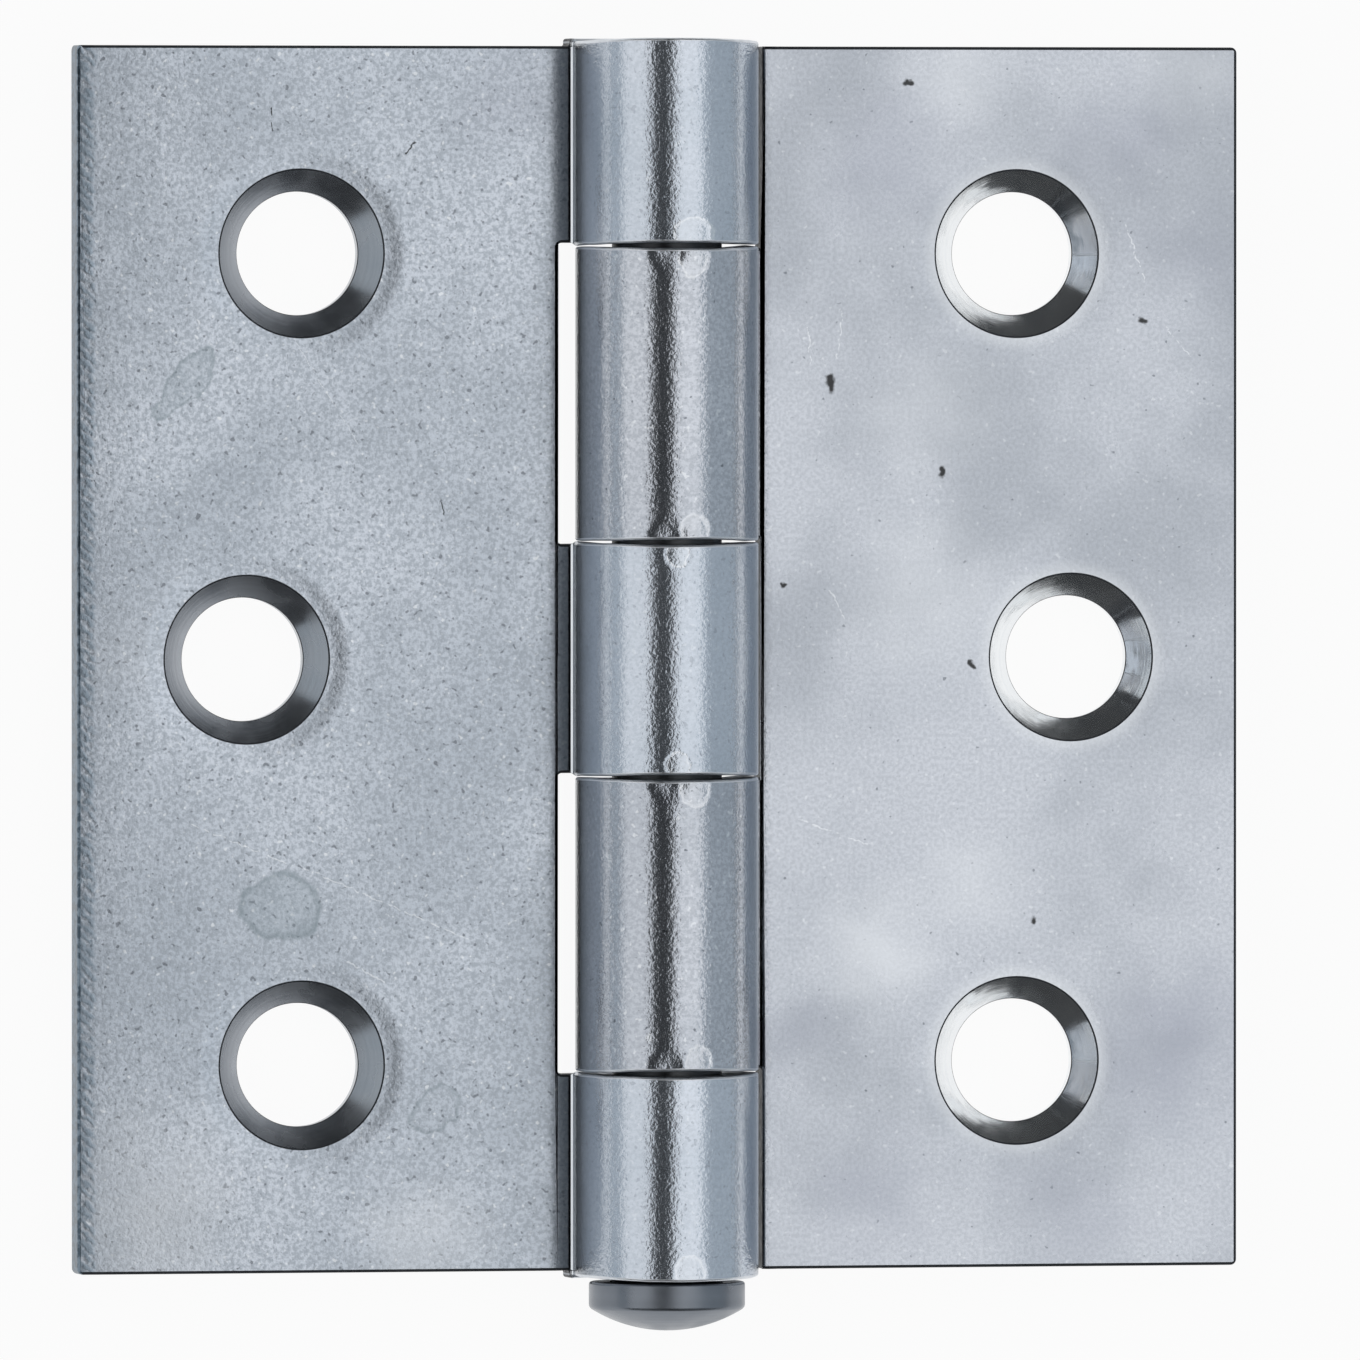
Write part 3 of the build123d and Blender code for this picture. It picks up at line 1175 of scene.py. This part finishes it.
    def build(self) -> bpy.types.Object:
        """Return the finished leaf, riding on its body in place of its CAD node."""
        leaf = self._blank()
        cutter = self._cutter()
        cut = leaf.modifiers.new("cut-outs", "BOOLEAN")
        cut.operation = "DIFFERENCE"
        cut.solver = "EXACT"
        cut.object = cutter
        leaf.data = applied_mesh(leaf)
        leaf.modifiers.clear()
        drop_piece(cutter)
        bm = bmesh.new()
        bm.from_mesh(leaf.data)
        bmesh.ops.remove_doubles(bm, verts=bm.verts[:], dist=MICRON)
        self._shape_knuckle_ends(bm)
        round_upright_edges(bm, self.reach, self.corner_round, self.corner_steps)
        if self.kind is LeafKind.THREE_KNUCKLE:
            self._grind_edge(bm)
        bm.normal_update()
        for face in bm.faces:
            face.smooth = True
            face.material_index = self._surface(face).value
        self._weigh_edges(bm)
        if self.kind.side < 0:
            bmesh.ops.scale(bm, verts=bm.verts[:], vec=(-1, 1, 1))
            bmesh.ops.reverse_faces(bm, faces=bm.faces[:])
        bm.to_mesh(leaf.data)
        bm.free()
        leaf.name = leaf.data.name = self.kind.node + "_steel"
        edges = leaf.modifiers.new("worn edges", "BEVEL")
        edges.width = self.edge_round
        edges.segments = self.edge_steps
        edges.limit_method = "WEIGHT"
        edges.harden_normals = True
        edges.use_clamp_overlap = False
        # Every rounding takes the cut edge's finish, whose near-black part off the roll is painted shade
        edges.material = Surface.CUT_EDGE.value
        self.dress(leaf)
        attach(leaf, self.kind.body)
        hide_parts(self.kind.node)
        return leaf

    def dress(self, leaf: bpy.types.Object) -> None:
        """Give the leaf a finish for each of its surfaces."""
        leaf.data.materials.append(self._sheet_material())
        leaf.data.materials.append(turned_material(self.sink_finish, self.effects, self._placed_holes()))
        leaf.data.materials.append(self._edge_material())
        leaf.data.materials.append(turned_material(LIP_STEEL, self.effects, self._placed_holes()))

    def _placed_holes(self) -> list[Vector]:
        """Return the centres of the countersinks on the leaf's own side."""
        return [Vector((self.kind.side * across, along, self.front)) for across, along in self.holes]

    def _knuckle_end(self, knuckle: int, upper: bool, inset: float) -> float:
        """Return a place along the barrel, set in from the lower or upper end of a knuckle."""
        low, high = self.knuckles[knuckle]
        return high - inset if upper else low + inset

    def _dimples(self) -> list[tuple[Dimple, tuple[float, float, float]]]:
        """Return the pressed spots with their places on the crest."""
        crest = self.axis.z + self.barrel_radius
        found = []
        for dimple in self.finish.dimples:
            along = self._knuckle_end(dimple.knuckle, dimple.upper, self.dimple_inset)
            found.append((dimple, (dimple.across * MM, along, crest)))
        return found

    def _end_dents(self) -> list[tuple[float, float, float]]:
        """Return the places beside the crest where rolling has drawn the knuckles' ends in."""
        crest = self.axis.z + self.barrel_radius
        return [
            (self.end_dent_across, self._knuckle_end(knuckle, upper, 0.0), crest)
            for knuckle in self.kind.value
            for upper in (False, True)
        ]

    def _on_front(self, across: float, along: float) -> tuple[float, float, float]:
        """Return a place on the leaf's front face, given in millimetres."""
        return across * MM, along * MM, self.front

    def _outwards(self, bench: NodeBench, place: bpy.types.NodeSocket) -> bpy.types.NodeSocket:
        """Return the distance from the pin's axis, on the leaf's own side."""
        return bench.times(bench.split(place)[0], float(self.kind.side))

    def _roll_mask(self, bench: NodeBench, place: bpy.types.NodeSocket, end: float) -> bpy.types.NodeSocket:
        """Return a mask of the roll.

        Args:
            bench: the material's bench.
            place: the object coordinates.
            end: where the mask ends, as a share of the barrel's radius.

        Returns:
            The mask's socket.
        """
        section = bench.vector("MULTIPLY", place, (1.0, 0.0, 1.0)).outputs[0]
        spot = bench.place(self.effects.groups["round spot"], Vector=section, Centre=tuple(self.axis),
                           Core=self.barrel_radius * ROLL_CORE, Edge=self.barrel_radius * end)
        return spot.outputs["Spot"]

    def _sheet_material(self) -> bpy.types.Material:
        """Return the finish of the rolled sheet: cloudy, grained and pitted, smoother on the roll."""
        look = self.finish
        groups = self.effects.groups
        material, bench, shader, place = start_material(look.name)
        clouds = bench.place(groups["cloudy tone"], Vector=place, Scale=look.cloud_scale,
                             Edge=look.cloud_edge)
        skin = bench.place(groups["sheet grain"], Vector=place, Grain_Scale=look.grain_scale,
                           Mark_Scale=MARK_SCALE, Pit_Level=look.pit_level)
        tone = clouds.outputs["Tone"]
        roll = self._roll_mask(bench, place, ROLL_END)
        strength = bench.span(roll, 0.0, 1.0, 1.0, look.roll_grain)
        relief = bench.span(roll, 0.0, 1.0, 1.0, look.roll_relief)
        rough = bench.span(tone, 0.0, 1.0, look.rough_high, look.rough_low)
        bench.feed(shader.inputs["Base Color"], self._sheet_colour(bench, place, tone, skin, strength))
        bench.feed(shader.inputs["Roughness"], bench.span(roll, 0.0, 1.0, rough, look.roll_rough))
        shader.inputs["Metallic"].default_value = 1.0
        bench.bump(shader, self._sheet_relief(bench, place, skin, relief))
        return material

    def _sheet_colour(self, bench: NodeBench, place: bpy.types.NodeSocket, tone: bpy.types.NodeSocket,
                      skin: bpy.types.Node, strength: bpy.types.NodeSocket) -> bpy.types.NodeSocket:
        """Return the colour of the sheet with its clouds, grain and marks, and painted shade in the corner
        by the roll.

        Args:
            bench: the material's bench.
            place: the object coordinates.
            tone: the cloudy tone.
            skin: the placed sheet grain.
            strength: how strong the grain is, which differs on the roll.

        Returns:
            The colour socket.
        """
        look = self.finish
        groups = self.effects.groups
        grain = bench.span(skin.outputs["Grain"], 0.35, 0.65, 0.0, look.grain_tone)
        shade = tuple(GRAIN_SHADE * part for part in look.dark)
        pits = bench.times(skin.outputs["Pits"], look.pit_tone)
        flecks = bench.times(skin.outputs["Flecks"], look.fleck_tone)
        colour = bench.mix(tone, look.dark, look.light)
        for mask, paint in ((grain, shade), (pits, PIT_PAINT), (flecks, FLECK_PAINT)):
            colour = bench.mix(bench.times(mask, strength, clamp=True), colour, paint)
        drifting = bench.ragged(place, *PATCH_WANDER)
        for patch in look.patches:
            spot = bench.place(groups["round spot"], Vector=drifting, Core=0.0, Edge=patch.radius * MM,
                               Centre=self._on_front(patch.across, patch.along))
            paint = LIGHT_PATCH_PAINT if patch.tone > 0 else DARK_PATCH_PAINT
            colour = bench.lay(colour, paint, spot.outputs["Spot"], abs(patch.tone))
        ragged = bench.ragged(bench.ragged(place, *DROP_WANDER), *DROP_EDGE_WANDER)
        for drop in look.drops:
            mark = bench.place(groups["dried drop"], Vector=ragged, Turn=drop.turn,
                               Centre=self._on_front(drop.across, drop.along),
                               Length=drop.length * MM, Width=drop.width * MM)
            colour = bench.lay(colour, DROP_PAINT, mark.outputs["Inside"], drop.fill)
            colour = bench.lay(colour, DROP_RIM_PAINT, mark.outputs["Rim"], DROP_RIM_SHARE)
        for centre in self._placed_holes() if look.rim_halo else ():
            halo = bench.place(groups["round spot"], Vector=place, Centre=tuple(centre),
                               Core=self.rim_radius, Edge=self.rim_radius + self.halo_width)
            colour = bench.lay(colour, HALO_PAINT, halo.outputs["Spot"], look.rim_halo)
        torn = bench.ragged(place, TORN_SCALE, look.nick_wander * MM)
        worn = bench.ragged(torn, *WORN_WANDER)
        for dimple, centre in self._dimples():
            ring = bench.place(groups["dried drop"], Vector=worn, Centre=centre, Turn=0.0,
                               Length=dimple.length * MM, Width=dimple.width * MM)
            colour = bench.lay(colour, WORN_PAINT, ring.outputs["Inside"], DIMPLE_SHARE)
            colour = bench.lay(colour, WORN_PAINT, ring.outputs["Rim"], dimple.rim)
        lines = [(nick, FLECK_PAINT, SCRATCH_SHARE) for nick in look.scratches]
        lines += [(nick, NICK_PAINT, NICK_SHARE) for nick in look.nicks]
        for nick, paint, share in lines:
            line = bench.place(groups["thin scratch"], Vector=torn, Width=nick.width * MM,
                               Start=self._on_front(*nick.start), End=self._on_front(*nick.end))
            colour = bench.lay(colour, paint, line.outputs["Scratch"], share)
        if self.kind is LeafKind.THREE_KNUCKLE:
            band, marks = self._edge_hatch(bench, place)
            colour = bench.lay(colour, HATCH_PAINT, band, bench.span(marks, -0.5, 0.6, 0.05, 0.8))
        # Painted shade in the corner between the leaf and the foot of its roll, where the barrel shades the
        # sheet
        corner_shade = bench.place(groups["corner grime"], Vector=place, Upper=self.axis.z + self.corner_shade_top,
                            Lower=self.front + self.corner_shade_foot,
                            Outer_Reach=self.barrel_radius + look.corner_shade_reach * MM,
                            Inner_Reach=self.barrel_radius + self.corner_shade_ease)
        return bench.lay(colour, CORNER_SHADE_PAINT, corner_shade.outputs["Grime"], look.corner_shade_tone)

    def _edge_hatch(self, bench: NodeBench,
                    place: bpy.types.NodeSocket) -> tuple[bpy.types.NodeSocket, bpy.types.NodeSocket]:
        """Return the ground band along the outer edge, and the grinding wheel's slanting marks in it.

        Args:
            bench: the material's bench.
            place: the object coordinates.

        Returns:
            The band's mask and the wave of the marks, from about -1 to 1.
        """
        wheel = self.hatch
        outwards = self._outwards(bench, place)
        ragged = bench.noise(place, wheel.wander_scale, detail=1.0)
        wander = bench.times(bench.math("SUBTRACT", ragged, 0.5), wheel.wander)
        start, full = (self.reach - share * self.ground_band for share in wheel.ease)
        band = bench.span(bench.math("ADD", outwards, wander), start, full)
        rim = bench.span(outwards, *(self.reach - stop for stop in wheel.stop))
        across = bench.vector("DOT_PRODUCT", place, wheel.course).outputs["Value"]
        turns = bench.math("DIVIDE", across, wheel.pitch / (2 * pi))
        wave = bench.math("SINE", bench.math("ADD", turns, bench.times(ragged, wheel.slip)))
        blotches = bench.span(bench.noise(place, wheel.blotch_scale), 0.3, 0.6, -1.0, 1.0)
        marks = bench.times(bench.math("ADD", wave, blotches), wheel.strength)
        return bench.times(band, rim), marks

    def _sheet_relief(self, bench: NodeBench, place: bpy.types.NodeSocket, skin: bpy.types.Node,
                      strength: bpy.types.NodeSocket) -> bpy.types.NodeSocket:
        """Return the relief of the sheet in microns: grain, pits, drawn-in rims, dimples and dents.

        Args:
            bench: the material's bench.
            place: the object coordinates.
            skin: the placed sheet grain.
            strength: how strong the grain is, which differs on the roll.

        Returns:
            The height socket.
        """
        look = self.finish
        dips = []
        dish_edge = self.rim_radius + self.rim_dish
        for centre in self._placed_holes():
            dips.append((tuple(centre), self.rim_radius, dish_edge, look.rim_dish_depth))
        for dimple, centre in self._dimples():
            width = dimple.width * MM
            dips.append((centre, self.dimple_core * width, width, self.dimple_depth))
        for centre in self._end_dents() if look.end_dent_depth else ():
            dips.append((centre, 0.0, self.end_dent_radius, look.end_dent_depth))
        height = bench.times(bench.times(skin.outputs["Grain"], look.grain_depth), strength)
        height = bench.sink(height, skin.outputs["Pits"], PIT_DEPTH)
        for centre, core, edge, depth in dips:
            dip = bench.place(self.effects.groups["round spot"], Vector=place, Centre=centre, Core=core,
                              Edge=edge)
            height = bench.sink(height, dip.outputs["Spot"], depth)
        if self.kind is LeafKind.THREE_KNUCKLE:
            band, marks = self._edge_hatch(bench, place)
            height = bench.math("ADD", height, bench.times(bench.times(band, marks), self.hatch.depth))
        return height

    def _edge_material(self) -> bpy.types.Material:
        """Return the finish of the sheared edges: near black on the leaf, as dull sheared steel with
        painted shade along the rounded edges, and burnished round the roll.

        The outer edge of the three-knuckle leaf is ground, so it is bare steel.
        """
        material, bench, shader, place = start_material(self.kind.node + "_cut_edge")
        torn = bench.noise(place, SHEARED_SCALE, detail=2.0, rough=0.6)
        bare = self._roll_mask(bench, place, ROLL_EDGE_END)
        # Near black off the roll: dull sheared steel and painted shade
        colour = bench.mix(bare, bench.mix(torn, *SHEARED_AND_SHADE_PAINTS), BURNISHED_PAINT)
        if self.kind is LeafKind.THREE_KNUCKLE:
            ground = bench.span(self._outwards(bench, place), self.reach - 2.0 * self.edge_round,
                                self.reach - 1.2 * self.edge_round)
            colour = bench.mix(ground, colour, bench.mix(bench.span(torn, 0.4, 0.6), *GROUND_PAINTS))
            bare = bench.math("MAXIMUM", bare, ground)
        bench.feed(shader.inputs["Base Color"], colour)
        bench.feed(shader.inputs["Roughness"], bench.span(torn, 0.3, 0.7, 0.28, 0.45))
        bench.feed(shader.inputs["Metallic"], bare)
        shader.inputs["Specular IOR Level"].default_value = 0.08
        bench.bump(shader, bench.times(torn, SHEARED_DEPTH))
        return material


def turned_material(look: TurnedFinish, effects: Effects, centres: list[Vector]) -> bpy.types.Material:
    """Return a turned finish, with fine rings about the nearest of its centres.

    Args:
        look: the finish.
        effects: the shared node groups.
        centres: the centres of the rings.

    Returns:
        The material.
    """
    material, bench, shader, place = start_material(look.name)
    nearest = None
    for centre in centres:
        spot = bench.place(effects.groups["round spot"], Vector=place, Centre=tuple(centre), Core=0.0,
                           Edge=1.0)
        reach = spot.outputs["Distance"]
        nearest = reach if nearest is None else bench.math("MINIMUM", nearest, reach)
    node = bench.add("TexNoise", noise_dimensions="1D")
    bench.feed(node.inputs["W"], nearest)
    bench.feed(node.inputs["Scale"], look.ring_scale)
    rings = node.outputs["Fac"]
    uneven = bench.noise(place, UNEVEN_SCALE)
    tone = bench.times(bench.math("ADD", rings, uneven), 0.5)
    bench.feed(shader.inputs["Base Color"], bench.mix(tone, look.dark, look.light))
    bench.feed(shader.inputs["Roughness"], bench.span(uneven, 0.3, 0.7, look.rough_low, look.rough_high))
    shader.inputs["Metallic"].default_value = 1.0
    height = bench.math("ADD", bench.times(rings, look.ring_depth), bench.times(uneven, look.uneven_depth))
    bench.bump(shader, height)
    return material


@dataclass
class LoosePin:
    """The pin: a drawn wire with an upset, domed head below the barrel."""

    effects: Effects
    node: str = "loose_pin"
    radius: float = 2.85 * MM
    head_rim: float = 1.35 * MM
    tip_chamfer: float = 0.6 * MM
    seat_gap: float = 0.12 * MM
    edge_round: float = 0.16 * MM
    sharp_angle: float = 28.0
    steps: int = 128
    dome_steps: int = 18
    edge_steps: int = 3

    def __post_init__(self) -> None:
        """Take the pin's ends and its head from the frame."""
        low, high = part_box(self.node)
        self.crown, self.tip = low.y, high.y
        self.head_radius = (high.x - low.x) / 2
        self.height = (low.z + high.z) / 2
        self.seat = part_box(LeafKind.THREE_KNUCKLE.node)[0].y - self.seat_gap

    def build(self) -> bpy.types.Object:
        """Return the finished pin, riding on its body in place of its CAD node."""
        rim_end = self.seat - self.head_rim
        rise = rim_end - self.crown
        dome_radius = (self.head_radius ** 2 + rise ** 2) / (2 * rise)
        dome_turn = atan2(self.head_radius, dome_radius - rise)
        bm = bmesh.new()
        start = bm.verts.new((0, self.crown, 0))
        dome = Vector((0, self.crown + dome_radius, 0))
        end = arc_to(bm, start, dome, (0, 0, 1), dome_turn, self.dome_steps)
        profile = [
            (self.head_radius, self.seat),
            (self.radius, self.seat),
            (self.radius, self.tip - self.tip_chamfer),
            (self.radius - self.tip_chamfer, self.tip),
            (0, self.tip),
        ]
        for across, along in profile:
            end = step_to(bm, end, Vector((across, along, 0)))
        turn_profile(bm, (0, 1, 0), self.steps, Vector((0, 0, self.height)))
        for face in bm.faces:
            face.smooth = True
            face.material_index = int(face.calc_center_median().y > self.seat + MICRON)
        pin = new_piece(self.node + "_steel", bm)
        edges = pin.modifiers.new("worn edges", "BEVEL")
        edges.width = self.edge_round
        edges.segments = self.edge_steps
        edges.limit_method = "ANGLE"
        edges.angle_limit = radians(self.sharp_angle)
        edges.harden_normals = True
        centres = [Vector((0, self.crown, self.height))]
        # The shank's near-black finish is painted shade for the gaps between the knuckles
        for finish in (HEAD_STEEL, SHANK_PAINTED_SHADE_STEEL):
            pin.data.materials.append(turned_material(finish, self.effects, centres))
        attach(pin, "pin")
        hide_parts(self.node)
        return pin


@dataclass(frozen=True)
class Softbox:
    """A large soft light that faces the hinge, placed by its lean from straight overhead."""

    name: str
    lean: float
    distance: float
    width: float
    length: float
    radiance: float
    colour: Colour = (1.0, 1.0, 1.0)

    def build(self) -> bpy.types.Object:
        """Return the light, aimed at the origin."""
        light = bpy.data.lights.new(self.name, "AREA")
        light.shape = "RECTANGLE"
        light.size = self.width
        light.size_y = self.length
        light.energy = self.radiance * pi * self.width * self.length
        light.color = self.colour
        lamp = bpy.data.objects.new(self.name, light)
        lean = radians(self.lean)
        lamp.location = (sin(lean) * self.distance, 0, cos(lean) * self.distance)
        lamp.rotation_euler = Euler((0, lean, 0))
        bpy.context.scene.collection.objects.link(lamp)
        return lamp


@dataclass
class Studio:
    """A white floor, two large softboxes beside a dark gap, and the camera."""

    camera_lean: float = 12.57
    camera_pitch: float = 0.9
    camera_distance: float = 1300 * MM
    aim: Vector = field(default_factory=lambda: Vector((1.043, 0.206, 3.2)) * MM)
    sensor_width: float = 36.0
    floor_side: float = 12.0
    floor_colour: Colour = (0.9, 0.9, 0.9)
    floor_glow: float = 0.94
    world_colour: Colour = (0.92, 0.96, 1.0)
    world_level: float = 0.05
    softboxes: tuple[Softbox, ...] = (
        Softbox("right_softbox", 15.5, 0.9, 0.62, 1.3, 1.06),
        Softbox("right_fill", 60.0, 0.9, 0.88, 1.3, 0.52, (0.84, 0.93, 1.0)),
        Softbox("left_softbox", -51.5, 0.9, 0.66, 1.3, 0.95),
        Softbox("left_fill", -80.5, 0.9, 0.25, 1.3, 0.55, (0.84, 0.93, 1.0)),
    )

    def build(self) -> None:
        """Build the floor, the world, the lights and the camera."""
        scene = bpy.context.scene
        scene.view_settings.view_transform = "Standard"
        self._floor()
        self._world()
        for softbox in self.softboxes:
            softbox.build()
        self._camera()

    def _floor(self) -> None:
        """Lay a plain white floor under the hinge that still takes its shadow."""
        bm = bmesh.new()
        bmesh.ops.create_grid(bm, x_segments=1, y_segments=1, size=self.floor_side / 2)
        floor = new_piece("floor", bm)
        material = bpy.data.materials.new("white_floor")
        material.use_nodes = True
        bench = NodeBench(material.node_tree)
        bench.tree.nodes.remove(bench.tree.nodes["Principled BSDF"])
        paper = bench.add("BsdfDiffuse")
        paper.inputs["Color"].default_value = (*self.floor_colour, 1.0)
        glow = bench.add("Emission")
        glow.inputs["Color"].default_value = (1.0, 1.0, 1.0, 1.0)
        glow.inputs["Strength"].default_value = 1.0
        path = bench.add("LightPath").outputs
        seen = bench.math("MAXIMUM", path["Is Camera Ray"], path["Is Glossy Ray"])
        seen = bench.math("MAXIMUM", seen, path["Is Transmission Ray"])
        mixed = bench.add("MixShader")
        bench.feed(mixed.inputs[0], bench.times(seen, self.floor_glow))
        bench.feed(mixed.inputs[1], paper.outputs[0])
        bench.feed(mixed.inputs[2], glow.outputs[0])
        clear = bench.add("BsdfTransparent")
        sided = bench.add("MixShader")
        bench.feed(sided.inputs[0], bench.add("NewGeometry").outputs["Backfacing"])
        bench.feed(sided.inputs[1], mixed.outputs[0])
        bench.feed(sided.inputs[2], clear.outputs[0])
        bench.feed(bench.tree.nodes["Material Output"].inputs["Surface"], sided.outputs[0])
        floor.data.materials.append(material)

    def _world(self) -> None:
        """Fill the room with a little even light."""
        world = bpy.data.worlds.new("studio")
        world.use_nodes = True
        backdrop = world.node_tree.nodes["Background"]
        backdrop.inputs["Color"].default_value = (*self.world_colour, 1.0)
        backdrop.inputs["Strength"].default_value = self.world_level
        bpy.context.scene.world = world

    def _camera(self) -> None:
        """Set the camera a little to the left of straight overhead, with the photo's framing."""
        lens = bpy.data.cameras.new("camera")
        lens.sensor_width = self.sensor_width
        frame_width = PHOTO_SIDE / PIXELS_PER_MM * MM
        lens.lens = lens.sensor_width * self.camera_distance / frame_width
        lens.clip_start = 0.01
        lens.clip_end = 50.0
        camera = bpy.data.objects.new("camera", lens)
        camera.rotation_euler = Euler((-radians(self.camera_pitch), -radians(self.camera_lean), 0))
        back = camera.rotation_euler.to_matrix() @ Vector((0, 0, self.camera_distance))
        camera.location = self.aim + back
        bpy.context.scene.collection.objects.link(camera)
        bpy.context.scene.camera = camera


def main() -> None:
    """Build the hinge and its studio."""
    logging.basicConfig(level=logging.INFO)
    effects = Effects().build()
    pieces = [
        RolledLeaf(LeafKind.THREE_KNUCKLE, effects, LEFT_SHEET, COUNTERSINK_LEFT).build(),
        RolledLeaf(LeafKind.TWO_KNUCKLE, effects, RIGHT_SHEET, COUNTERSINK_RIGHT).build(),
        LoosePin(effects).build(),
    ]
    for piece in pieces:
        log.info("%s has %d faces", piece.name, len(piece.data.polygons))
    Studio().build()


if __name__ == "__main__":
    main()
